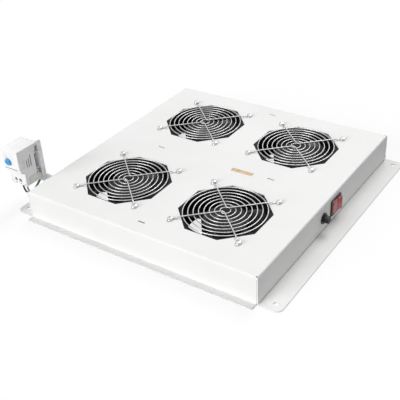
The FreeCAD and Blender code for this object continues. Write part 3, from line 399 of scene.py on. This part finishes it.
# a CAD node's mesh, merged, with its folded edges rounded where they are long enough
def roundedCopy(node, name, body, width, segments=3):
    mesh = nodes[node].data.copy()
    mesh.name = name
    work = bmesh.new()
    work.from_mesh(mesh)
    bmesh.ops.remove_doubles(work, verts=work.verts, dist=1e-6)
    bmesh.ops.dissolve_limit(
        work, angle_limit=math.radians(1), verts=work.verts, edges=work.edges)
    bmesh.ops.recalc_face_normals(work, faces=work.faces)
    weight = work.edges.layers.float.new("bevel_weight_edge")
    for edge in work.edges:
        folded = len(edge.link_faces) == 2 and edge.calc_face_angle(0) > math.radians(
            edgeRule["foldPast"])
        edge[weight] = 1.0 if folded and edge.calc_length() > edgeRule["longerThan"] * mm else 0.0
    work.to_mesh(mesh)
    work.free()
    piece = bpy.data.objects.new(name, mesh)
    bpy.context.scene.collection.objects.link(piece)
    bevel = piece.modifiers.new("edges", "BEVEL")
    bevel.limit_method = "WEIGHT"
    bevel.width = width * mm
    bevel.segments = segments
    bevel.use_clamp_overlap = False
    bpy.context.view_layer.update()
    seen = piece.evaluated_get(bpy.context.evaluated_depsgraph_get())
    piece.data = bpy.data.meshes.new_from_object(seen)
    piece.modifiers.clear()
    piece.data.shade_smooth()
    piece.data.set_sharp_from_angle(angle=math.radians(sharpPast["flat"]))
    return dress(piece, slotOf[node], body, [node])


# finger guards

guard = {
    "rings": 8, "ringPitch": 7.15, "ringWire": 1.5, "ringHeight": 44.3,
    "armWire": 1.8, "armLow": 43.9, "armHigh": 45.9, "eyeReach": 52.5,
    "eyeRadius": 3.4, "eyeTurn": 330.0, "apex": 3.8, "apexCut": 5.0, "joggleStart": 7.9,
    "joggleRun": 4.0, "joggleCut": 1.6,
}


# ring: a circle of wire centres at a constant height
def guardRing(radius):
    turn = np.linspace(0, 2 * np.pi, 72, endpoint=False)
    path = np.stack([
        radius * np.cos(turn), radius * np.sin(turn), 0 * turn + guard["ringHeight"]], -1)
    return wireAlong(path, guard["ringWire"] / 2, 10, closed=True)


# arm: out of one eye, up a joggle, across to the apex and down to the other eye, where each
# end turns round a screw in most of a circle
def guardArm(way):
    reach, low, high = guard["eyeReach"], guard["armLow"], guard["armHigh"]
    apex = np.array([0.0, way * guard["apex"], high])
    halves = []
    for hand in (-1, 1):
        eye = np.array([hand * reach, way * reach, low])
        inward = (apex - eye) * (1, 1, 0)
        inward /= np.linalg.norm(inward)
        left = np.array([-inward[1], inward[0], 0.0])
        r = guard["eyeRadius"]
        turn = np.radians(np.linspace(guard["eyeTurn"], 0, 28))[:, None]
        loop = eye + r * (np.cos(turn) * inward + hand * way * np.sin(turn) * left)
        flatEnd = eye + inward * guard["joggleStart"]
        riseEnd = flatEnd + inward * guard["joggleRun"]
        riseEnd[2] = high
        run = roundedPath([loop[-1], flatEnd, riseEnd, apex], guard["joggleCut"])[1:-1]
        halves.append(np.concatenate([loop, run]))
    meeting = roundedPath([halves[0][-1], apex, halves[1][-1]], guard["apexCut"], 12)[1:-1]
    return wireAlong(
        np.concatenate([halves[0], meeting, halves[1][::-1]]), guard["armWire"] / 2, 12)


guardShape = together(
    [guardRing(guard["ringPitch"] * (i + 1)) for i in range(guard["rings"])]
    + [guardArm(-1), guardArm(1)])
for number, (x, y) in enumerate(fanCentres, 1):
    makePiece(
        "guardWires_%d" % number, moved(guardShape, (x, y, 0)), "guard_wire", "tray",
        ["finger_guard_%d" % number], sharpPast["wire"])
print("finger guards made")


# guard screws

screw = {
    "head": 3.8, "dome": 1.1, "skirt": 1.5, "shank": 2.0, "under": 44.8, "tail": 31.3,
    "crossReach": 1.9, "crossWidth": 0.5, "crossDepth": 1.2, "crossSteep": (4.0, 3.0),
    "pitch": 52.5, "firstTurn": 0.4, "nextTurn": 1.7,
}


# pan head: a flat dome, a short side and a shank below, with a cross sunk into the dome
def crossSink(x, y, z):
    arm = np.minimum(np.abs(x), np.abs(y))
    far = np.maximum(np.abs(x), np.abs(y))
    sideSteep, endSteep = screw["crossSteep"]
    inside = np.clip((screw["crossWidth"] - arm) * sideSteep, 0, 1) * np.clip(
        (screw["crossReach"] - far) * endSteep, 0, 1)
    return inside * screw["crossDepth"] * (z > screw["under"] + screw["skirt"])


reach = np.concatenate([np.linspace(0, 1, 22), [1.0, 1.0]])
domeRadius = screw["head"] * np.sin(np.clip(reach, 0, 1) * np.pi / 2)
domeHeight = screw["under"] + screw["skirt"] + screw["dome"] * np.cos(reach * np.pi / 2)
screwShape = turnedBody(
    np.concatenate([domeRadius[:-2], [screw["head"], screw["shank"], screw["shank"], 0]]),
    np.concatenate([domeHeight[:-2], [screw["under"], screw["under"], screw["tail"], screw["tail"]]]),
    48, sink=crossSink)
places = [
    (x + a * screw["pitch"], y + b * screw["pitch"])
    for x, y in fanCentres for a in (-1, 1) for b in (-1, 1)]
makePiece(
    "guardScrewSet",
    together([
        moved(screwShape, (x, y, 0), screw["firstTurn"] + screw["nextTurn"] * i)
        for i, (x, y) in enumerate(places)]),
    "zinc_plate", "tray", ["guard_screws"], sharpPast["turned"])
print("guard screws made:", len(places))


# rotors

rotor = {
    "hub": 33.0, "low": 9.0, "high": 31.5, "wall": 2.5, "edge": 2.6, "roof": 3.0,
    "root": 32.0, "tip": 55.9, "blades": 5, "span": 52.0, "sweep": 9.0, "drop": 19.0,
    "topDrop": 2.0, "thick": 1.8, "camber": 2.2, "edgePower": 14,
    "grooveRadius": (0, 9, 10, 11, 12, 25, 26, 27), "grooveDepth": (0, 0, 0.5, 0.5, 0, 0, 0.3, 0),
    "boss": 5.5, "bossDepth": 0.5, "turns": (18.0, 66.0, 18.0, 12.0),
}


# hub cup: top disc with two shallow ring grooves, a rounded edge, the side, and the hollow
def hubCup():
    flat = rotor["hub"] - rotor["edge"]
    groove = np.array([*rotor["grooveRadius"], flat])
    grooveHeight = rotor["high"] - np.array([*rotor["grooveDepth"], 0])
    turn = np.radians(np.linspace(90, 0, 8))
    edgeRadius = flat + rotor["edge"] * np.cos(turn)
    edgeHeight = rotor["high"] - rotor["edge"] + rotor["edge"] * np.sin(turn)
    inner = rotor["hub"] - rotor["wall"]
    roof = rotor["high"] - rotor["roof"]
    boss, under = rotor["boss"], roof - rotor["bossDepth"]
    radius = np.concatenate([groove, edgeRadius, [rotor["hub"], inner, inner, boss, boss, 0]])
    height = np.concatenate([
        grooveHeight, edgeHeight, [rotor["low"], rotor["low"], roof, roof, under, under]])
    return turnedBody(radius, height, 96)


# blade: the angle runs back along the chord while the height falls with a low arch; the
# outline goes over the top and back underneath, thinning to round edges
def bladeShape(turn):
    chord = np.linspace(0, 1, 26)
    loop = np.concatenate([chord, chord[::-1][1:-1]])[None]
    under = np.concatenate([0 * chord, 0 * chord[1:-1] + 1])[None]
    share = np.linspace(0, 1, 14)[:, None]
    radius = rotor["root"] + (rotor["tip"] - rotor["root"]) * share
    fullness = np.clip(1 - np.abs(2 * loop - 1) ** rotor["edgePower"], 0.02, 1)
    half = rotor["thick"] / 2 * np.sqrt(fullness)
    angle = np.radians(turn - rotor["sweep"] * share - rotor["span"] * loop)
    middle = rotor["high"] - rotor["topDrop"] + rotor["thick"] / 2
    height = middle - rotor["drop"] * loop + rotor["camber"] * 4 * loop * (1 - loop)
    height = height + half * (1 - 2 * under) + 0 * share
    points = np.stack([radius * np.cos(angle), radius * np.sin(angle), height], -1)
    rows, columns = height.shape
    faces = gridQuads(rows, columns).tolist()
    last = (rows - 1) * columns
    count = len(chord)
    for start in (0, last):  # close root and tip with quads across the thickness
        faces += [
            [start + i, start + i + 1, start + (columns - i - 1) % columns, start + (columns - i) % columns]
            for i in range(count - 1) if i + 1 != (columns - i - 1) % columns]
    return points.reshape(-1, 3), faces


rotorShape = together(
    [hubCup()] + [bladeShape(i * 360 / rotor["blades"]) for i in range(rotor["blades"])])
for number, (x, y) in enumerate(fanCentres, 1):
    turn = math.radians(rotor["turns"][number - 1])
    makePiece(
        "fanRotor_%d" % number, moved(rotorShape, (x, y, 0), turn), "rotor_black",
        "fan_rotor_%d" % number, ["rotor_%d" % number], sharpPast["turned"])
print("rotors made")


# switch and fuse

roundedCopy("switch_housing", "switchCase", "tray", 0.4)
roundedCopy("switch_rocker", "rockerCap", "rocker", 0.6, 4)

fuseCap = {
    "at": (191.0, -22.5, 21.5), "knob": 5.5, "start": 0.3, "end": 7.2, "edge": 0.9,
    "skirt": 4.15, "skirtEnd": -6.0, "socket": 2.95, "socketEnd": -1.0,
    "slotWidth": 0.8, "slotDepth": 1.5, "ribs": 24, "ribShare": 0.045,
}


# knob: front disc with a coin slot, rounded edge, ribbed side, then the skirt and its socket
def fuseCapShape():
    edge = np.radians(np.linspace(90, 0, 6))
    front = np.linspace(0, fuseCap["knob"] - fuseCap["edge"], 14)
    radius = np.concatenate([
        front, fuseCap["knob"] - fuseCap["edge"] * (1 - np.cos(edge)),
        [fuseCap["knob"], fuseCap["skirt"], fuseCap["skirt"], fuseCap["socket"],
         fuseCap["socket"], 0]])
    height = np.concatenate([
        0 * front + fuseCap["end"], fuseCap["end"] - fuseCap["edge"] * (1 - np.sin(edge)),
        [fuseCap["start"], fuseCap["start"], fuseCap["skirtEnd"], fuseCap["skirtEnd"],
         fuseCap["socketEnd"], fuseCap["socketEnd"]]])
    ribbed = np.where((height > 0) & (radius > fuseCap["skirt"]), 1.0, 0.0)[:, None]

    def ripple(angle):
        wave = 0.5 + 0.5 * np.cos(fuseCap["ribs"] * angle)
        return 1 - fuseCap["ribShare"] * ribbed * wave ** 2

    def coinSlot(x, y, z):
        return fuseCap["slotDepth"] * (z > fuseCap["end"] - 0.6) * (np.abs(y) < fuseCap["slotWidth"])

    points, faces = turnedBody(radius, height, 144, ripple, coinSlot)
    return points[:, [2, 0, 1]] + np.array(fuseCap["at"]), faces


makePiece(
    "fuseKnob", fuseCapShape(), "switch_black", "fuse_knob", ["fuse_cap"], sharpPast["turned"])
print("switch and fuse made")


# thermostat

roundedCopy("thermostat_housing", "thermostatCase", "tray", 0.55)
roundedCopy("rail_clip", "railFoot", "clip", 0.4)
roundedCopy("thermostat_bracket", "bracketSheet", "tray", 0.25, 2)
roundedCopy("din_rail", "railSheet", "tray", 0.2, 2)

dial = {
    "at": (-228.2, -187.5, 76.0), "radius": 5.5, "thick": 2.4, "play": 0.3, "edge": 0.5,
    "slotReach": 4.1, "slotWidth": 0.7, "slotDepth": 1.0, "teeth": 14, "toothShare": 0.06,
    "stem": 2.5, "stemDepth": 7.7, "ticks": 11, "tickRing": 7.3, "tickWide": 0.22,
    "tickStand": 0.04, "tickSunk": 0.02, "longTick": 1.6, "shortTick": 0.9, "scaleEnd": 135,
}


# dial: a disc with shallow finger teeth round its edge and a screwdriver slot
def dialShape():
    edge = np.radians(np.linspace(90, 0, 6))
    face = np.linspace(0, dial["radius"] - dial["edge"], 16)
    radius = np.concatenate([
        face, dial["radius"] - dial["edge"] * (1 - np.cos(edge)),
        [dial["radius"], dial["stem"], dial["stem"], 0]])
    height = np.concatenate([
        0 * face + dial["thick"], dial["thick"] - dial["edge"] * (1 - np.sin(edge)),
        [dial["play"], dial["play"], -dial["stemDepth"], -dial["stemDepth"]]])
    toothed = np.where(radius > dial["stem"] + 1, (radius / dial["radius"]) ** 4, 0.0)[:, None]

    def ripple(angle):
        return 1 - dial["toothShare"] * toothed * (0.5 + 0.5 * np.cos(dial["teeth"] * angle))

    def driverSlot(x, y, z):
        inside = (np.abs(y) < dial["slotWidth"]) & (np.abs(x) < dial["slotReach"])
        return dial["slotDepth"] * (z > dial["thick"] - 0.3) * inside

    return turnedBody(radius, height, 112, ripple, driverSlot)


dialPoints, dialFaces = dialShape()
# the disc's upright axis becomes the way out of the dial face
makePiece(
    "dialKnob", (dialPoints[:, [0, 2, 1]] * (1, -1, 1) + np.array(dial["at"]), dialFaces),
    "dial_blue", "dial", ["thermostat_dial"], sharpPast["turned"])


# scale tick: a thin bar from the ring outward, turned to its place round the dial
def scaleTick(angle, long):
    outward = np.array([math.sin(angle), 0, math.cos(angle)])
    across = np.array([math.cos(angle), 0, -math.sin(angle)])
    start = np.array(dial["at"]) + outward * dial["tickRing"]
    ends = np.array([0.0, long])
    sides = np.array([-0.5, 0.5]) * dial["tickWide"]
    depth = np.array([dial["tickSunk"], -dial["tickStand"]])
    grid = np.stack(np.meshgrid(ends, sides, depth, indexing="ij"), -1).reshape(-1, 3)
    points = start + grid[:, :1] * outward + grid[:, 1:2] * across + grid[:, 2:] * (0, 1, 0)
    return points, boxFaces


angles = np.radians(np.linspace(-dial["scaleEnd"], dial["scaleEnd"], dial["ticks"]))
makePiece(
    "dialScale", together([
        scaleTick(a, dial["shortTick"] if i % 5 else dial["longTick"])
        for i, a in enumerate(angles)]),
    "switch_black", "tray")

# painted shade: dark slabs at the floors of the vents on both sides, a dark strip under the
# dial block, and dark rings round the two terminal screws, standing for the shade in these recesses
vents = {
    "sides": (-209.1, -238.9), "start": -172.8, "pitch": 3.9, "wide": 1.5, "low": 63.0,
    "tall": (13.0, 14.5, 19.5), "thick": 0.1,
}
dialShadeStrip = {"low": (-238.8, -186.15, 63.2), "high": (-214.0, -185.9, 64.6)}
terminals = {
    "x": (-220.8, -229.4), "y": -179.5, "z": 42.5, "inner": 2.12, "outer": 2.75,
    "stand": 0.04, "sunk": 0.1,
}


# painted shade: dark slabs set in the vents where only shade falls
makePiece("ventPaintedShade", together([
    slab((x - vents["thick"], vents["start"] + i * vents["pitch"], vents["low"]),
         (x + vents["thick"], vents["start"] + i * vents["pitch"] + vents["wide"],
          vents["low"] + vents["tall"][i]))
    for x in vents["sides"] for i in range(3)]), "switch_black", "tray")
# painted shade: a dark strip under the dial block where only shade falls
makePiece("dialPaintedShade", slab(dialShadeStrip["low"], dialShadeStrip["high"]), "switch_black", "tray")


# painted shade ring: a thin dark ring round a terminal screw where only shade falls, whose upright axis
# becomes the way out of the terminal face
def terminalShadeRing(x):
    inner, outer = terminals["inner"], terminals["outer"]
    stand, sunk = terminals["stand"], -terminals["sunk"]
    points, faces = turnedBody(
        [inner, outer, outer, inner, inner], [stand, stand, sunk, sunk, stand], 32)
    return points[:, [0, 2, 1]] * (1, -1, 1) + (x, terminals["y"], terminals["z"]), faces


# painted shade: dark rings round the terminal screws
makePiece("terminalPaintedShade", together([terminalShadeRing(x) for x in terminals["x"]]), "switch_black", "tray")
print("thermostat made")


# thermostat leads: node, thickness, length in metres and the source's route points

leads = {
    "leadBlack": ("lead_black", 2.6, 0.1, (
        (-220.8, -176.8, 39.5), (-220.8, -176.8, 28.0), (-219.8, -173.0, 17.0),
        (-220.2, -162.0, 13.2), (-222.0, -151.0, 17.5), (-222.0, -142.0, 25.0),
        (-213.5, -135.0, 28.0), (-200.5, -131.5, 22.0), (-182.0, -131.5, 20.0))),
    "leadGreen": ("lead_green", 2.2, 0.094, (
        (-212.2, -176.8, 39.0), (-212.6, -176.6, 29.5), (-214.6, -172.0, 20.0),
        (-217.6, -161.6, 16.2), (-218.8, -151.0, 20.2), (-218.6, -142.0, 28.2),
        (-210.8, -136.0, 31.0), (-199.5, -131.9, 24.6), (-182.0, -131.5, 23.1))),
}
for name, (node, thick, length, route) in leads.items():
    curve = bpy.data.curves.new(name, "CURVE")
    curve.dimensions = "3D"
    curve.bevel_depth = thick / 2 * mm
    curve.bevel_resolution = 6
    curve.use_fill_caps = True
    spline = curve.splines.new("NURBS")
    spline.points.add(len(route) - 1)
    values = np.ones((len(route), 4))
    values[:, :3] = np.array(route) * mm
    spline.points.foreach_set("co", values.ravel())
    spline.order_u = 3
    spline.use_endpoint_u = True
    spline.resolution_u = 12
    lead = bpy.data.objects.new(name, curve)
    bpy.context.scene.collection.objects.link(lead)
    curve.materials.append(finish[slotOf[node]])
    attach(lead, "tray")
    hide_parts(node)
print("leads made")


# bare strip on the top plate

strip = {"at": (50.0, -3.0), "long": 35.0, "wide": 8.0, "low": 42.99, "high": 43.12, "corner": 0.8}


# strip: an oblong with rounded corners, carried straight up
def stripShape():
    turn = np.linspace(0, 2 * np.pi, 33)[:-1]
    x = np.cos(turn)
    y = np.sin(turn)
    r = strip["corner"]
    px = strip["at"][0] + np.sign(x) * (strip["long"] / 2 - r) + r * x
    py = strip["at"][1] + np.sign(y) * (strip["wide"] / 2 - r) + r * y
    low = np.stack([px, py, 0 * px + strip["low"]], -1)
    high = np.stack([px, py, 0 * px + strip["high"]], -1)
    count = len(turn)
    faces = gridQuads(2, count).tolist() + [list(range(count)), list(range(count, 2 * count))]
    return np.concatenate([low, high]), faces


makePiece("bareStrip", stripShape(), "tray_paint", "tray", material=bareStrip)
print("strip made")


# painted shade: dark squares under the relief holes at the tray's corners, and a dark painted shade line in
# the fold between each side wall and its flange, its sunk side hidden in the sheet

folds = {
    "reliefAt": (187.0, 196.0), "reliefHalf": 1.25, "reliefShade": 41.0, "thick": 0.1,
    "wall": 189.0, "sheet": 1.5, "line": 0.7, "sunk": 0.1, "half": 194.0,
}


def reliefShade(handX, handY):
    x, y = handX * folds["reliefAt"][0], handY * folds["reliefAt"][1]
    r, z = folds["reliefHalf"], folds["reliefShade"]
    return slab((x - r, y - r, z), (x + r, y + r, z + folds["thick"]))


def foldShadeLine(hand):
    inner, outer = folds["wall"] - folds["sunk"], folds["wall"] + folds["line"]
    low, high = sorted((hand * inner, hand * outer))
    return slab(
        (low, -folds["half"], folds["sheet"] - folds["sunk"]),
        (high, folds["half"], folds["sheet"] + folds["line"]))


# painted shade: dark squares inside the corner relief holes
makePiece(
    "reliefPaintedShade", together([reliefShade(a, b) for a in (-1, 1) for b in (-1, 1)]),
    "switch_black", "tray")
# painted shade: a darker line of tray paint along each wall's fold
makePiece(
    "foldShadeLines", together([foldShadeLine(-1), foldShadeLine(1)]), "tray_paint", "tray", material=foldShade)
print("folds made")


# floor, world and lamps

studio = {
    "floorHeight": -0.0002, "floorSize": 8.0, "ambient": 0.44, "cameraShare": 0.8,
    "floorColor": 0.93, "floorBounce": 0.42,
    "lamps": {
        "windowLight": ((-0.35, -0.88, 0.34), 2.5, 40.0), "roofLight": ((-0.04, 0.62, 0.78), 1.5, 30.0)},
}
half = studio["floorSize"] / 2
floorMesh = bpy.data.meshes.new("studioFloor")
floorMesh.from_pydata(
    [(a * half, b * half, studio["floorHeight"]) for a, b in ((-1, -1), (1, -1), (1, 1), (-1, 1))],
    [], [(0, 1, 2, 3)])
floor = bpy.data.objects.new("studioFloor", floorMesh)
bpy.context.scene.collection.objects.link(floor)


# the camera sees a pale paint under a share of plain white, and other rays a darker paint
def mattPaint(shader, level):
    shader.inputs["Base Color"].default_value = (level, level, level, 1.0)
    shader.inputs["Roughness"].default_value = 0.9
    shader.inputs["Specular IOR Level"].default_value = 0.1


floorPaint, pale = newMaterial("paleFloor", (1.0, 1.0, 1.0), 0.9)
dim = addNode(floorPaint, "ShaderNodeBsdfPrincipled")
mattPaint(pale, studio["floorColor"])
mattPaint(dim, studio["floorBounce"])
glow = addNode(floorPaint, "ShaderNodeEmission", Strength=1.0)
seen = addNode(floorPaint, "ShaderNodeMixShader", Fac=studio["cameraShare"])
either = addNode(floorPaint, "ShaderNodeMixShader")
path = addNode(floorPaint, "ShaderNodeLightPath")
most = addNode(floorPaint, "ShaderNodeMath", operation="MAXIMUM")
join(floorPaint, path.outputs["Is Camera Ray"], most.inputs[0])
join(floorPaint, path.outputs["Is Transmission Ray"], most.inputs[1])
join(floorPaint, pale.outputs[0], seen.inputs[1])
join(floorPaint, glow.outputs[0], seen.inputs[2])
join(floorPaint, most.outputs[0], either.inputs["Fac"])
join(floorPaint, dim.outputs[0], either.inputs[1])
join(floorPaint, seen.outputs[0], either.inputs[2])
join(
    floorPaint, either.outputs[0],
    floorPaint.node_tree.nodes["Material Output"].inputs["Surface"])
floorMesh.materials.append(floorPaint)

# the sky is plain white to the camera and in mirror and glass, and dimmer as a light
world = bpy.data.worlds.new("studioWorld")
bpy.context.scene.world = world
world.use_nodes = True
world.node_tree.nodes.clear()
path = addNode(world, "ShaderNodeLightPath")
first = addNode(world, "ShaderNodeMath", operation="MAXIMUM")
second = addNode(world, "ShaderNodeMath", operation="MAXIMUM")
level = addNode(world, "ShaderNodeMapRange")
level.inputs["To Min"].default_value = studio["ambient"]
level.inputs["To Max"].default_value = 1.0
sky = addNode(world, "ShaderNodeBackground", Color=(1.0, 1.0, 1.0, 1.0))
ending = addNode(world, "ShaderNodeOutputWorld")
join(world, path.outputs["Is Camera Ray"], first.inputs[0])
join(world, path.outputs["Is Glossy Ray"], first.inputs[1])
join(world, first.outputs[0], second.inputs[0])
join(world, path.outputs["Is Transmission Ray"], second.inputs[1])
join(world, second.outputs[0], level.inputs["Value"])
join(world, level.outputs["Result"], sky.inputs["Strength"])
join(world, sky.outputs[0], ending.inputs["Surface"])

for name, (comesFrom, power, softness) in studio["lamps"].items():
    lampData = bpy.data.lights.new(name, "SUN")
    lampData.energy = power
    lampData.angle = math.radians(softness)
    lamp = bpy.data.objects.new(name, lampData)
    lamp.rotation_mode = "QUATERNION"
    lamp.rotation_quaternion = Vector(comesFrom).to_track_quat("Z", "Y")
    bpy.context.scene.collection.objects.link(lamp)
print("studio made")
